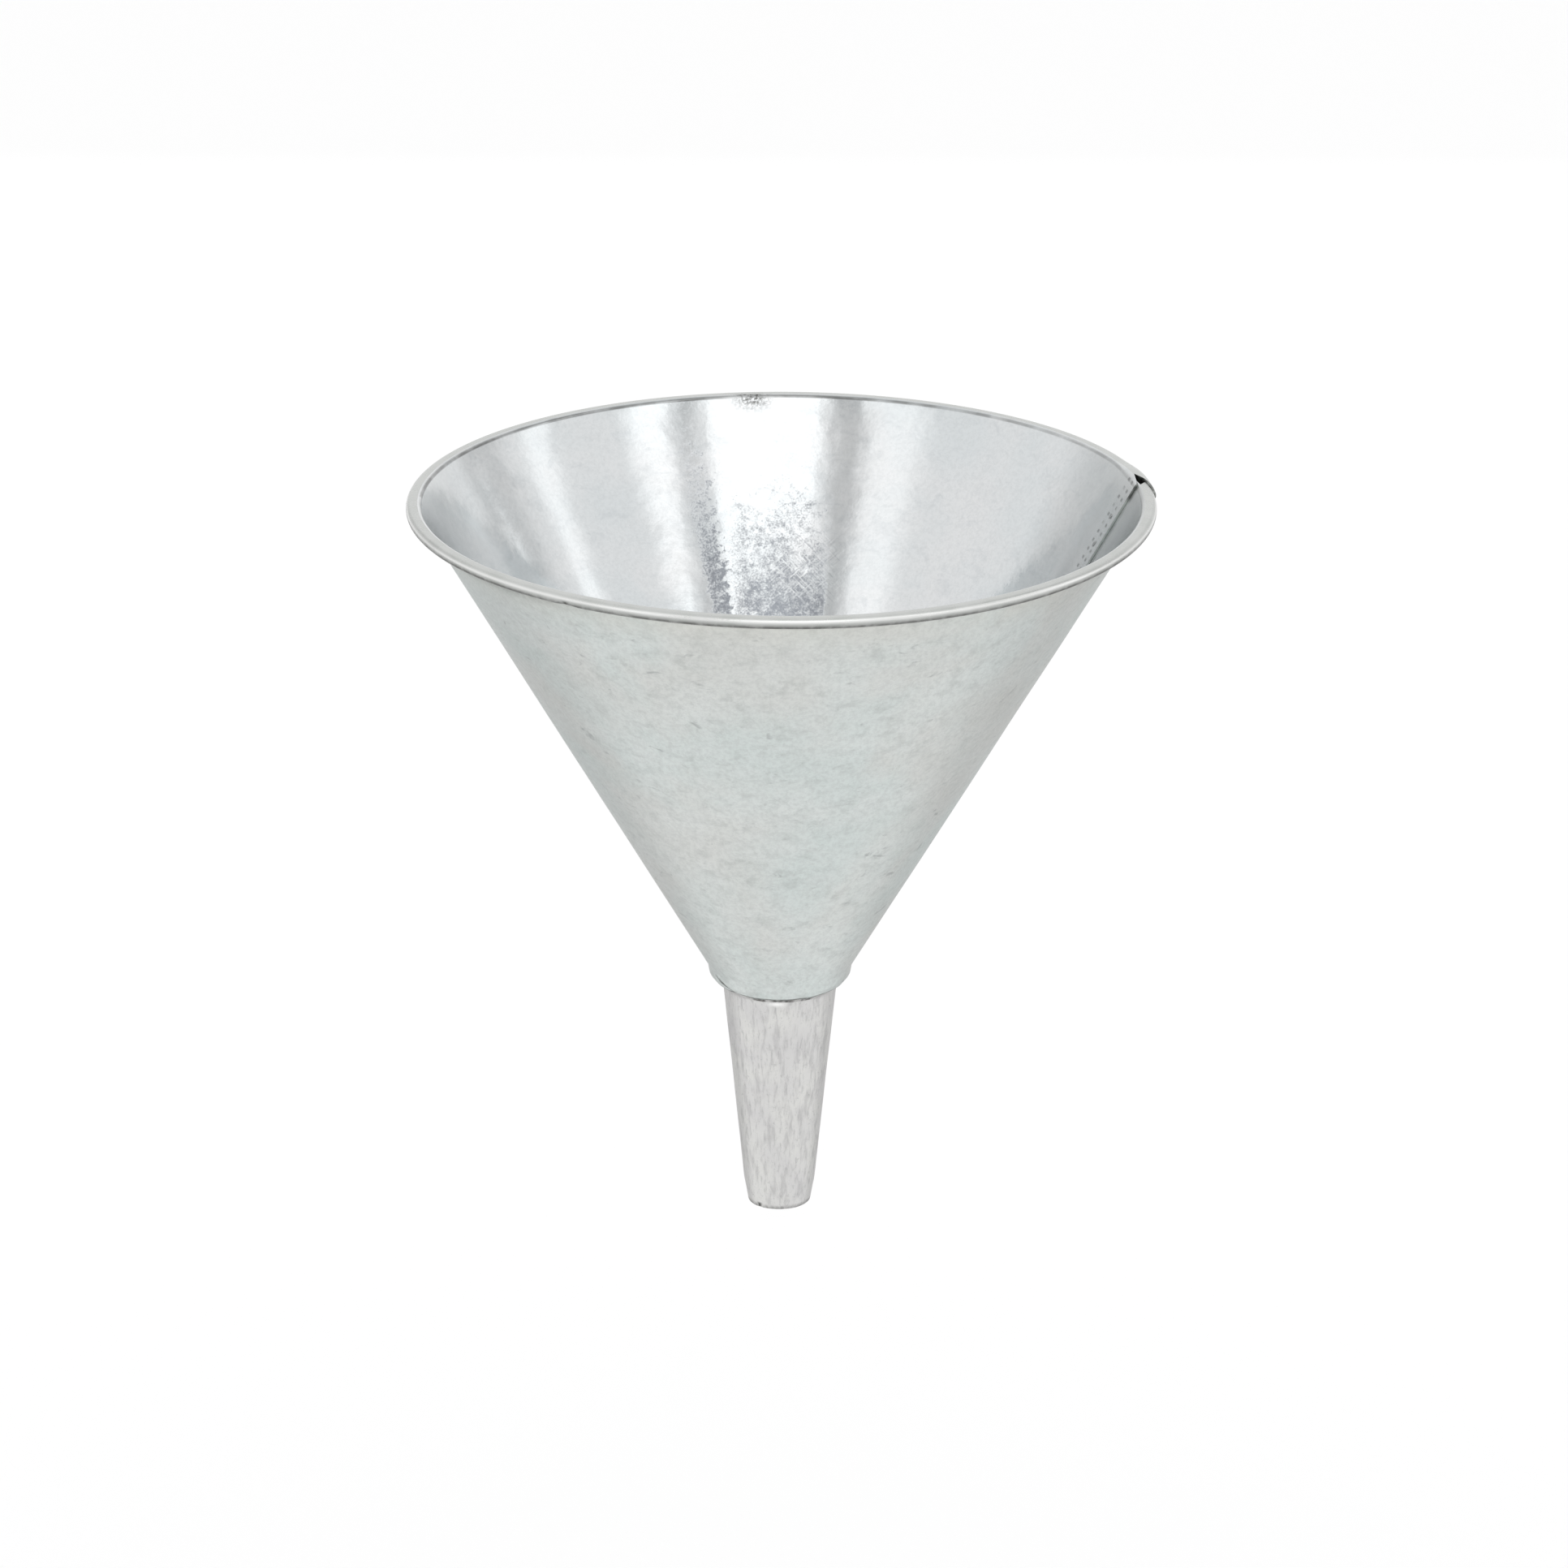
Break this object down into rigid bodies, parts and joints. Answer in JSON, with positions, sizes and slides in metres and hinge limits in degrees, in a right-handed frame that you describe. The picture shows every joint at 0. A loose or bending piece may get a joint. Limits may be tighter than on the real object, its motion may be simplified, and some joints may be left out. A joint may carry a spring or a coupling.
{
  "type": "funnel",
  "caption": "Galvanised steel funnel: a lap-seamed sheet cone with a hollow rolled hem, clinched and soldered on to a tapered drawn spout.",
  "frame": {"origin": "on the axis at the foot of the cone, where the neck of a can or tank carries the funnel", "axes": "+Z along the axis, up towards the mouth; +X towards the lap seam, to within seven degrees"},
  "size_m": [0.2032, 0.2032, 0.2086],
  "materials": {
    "galvanised_sheet": "hot-dip galvanised sheet, satin outside and brighter inside, with faint mottling",
    "drawn_spout": "galvanised, satin, with fine draw lines along the spout",
    "solder": "wiped soft solder, dull grey",
    "weld_spots": "resistance weld spots, darker than the sheet"
  },
  "bodies": {
    "root": {"cone_body": "galvanised_sheet", "spout": "drawn_spout", "neck_solder": "solder", "seam_welds": "weld_spots"}
  },
  "joints": []
}
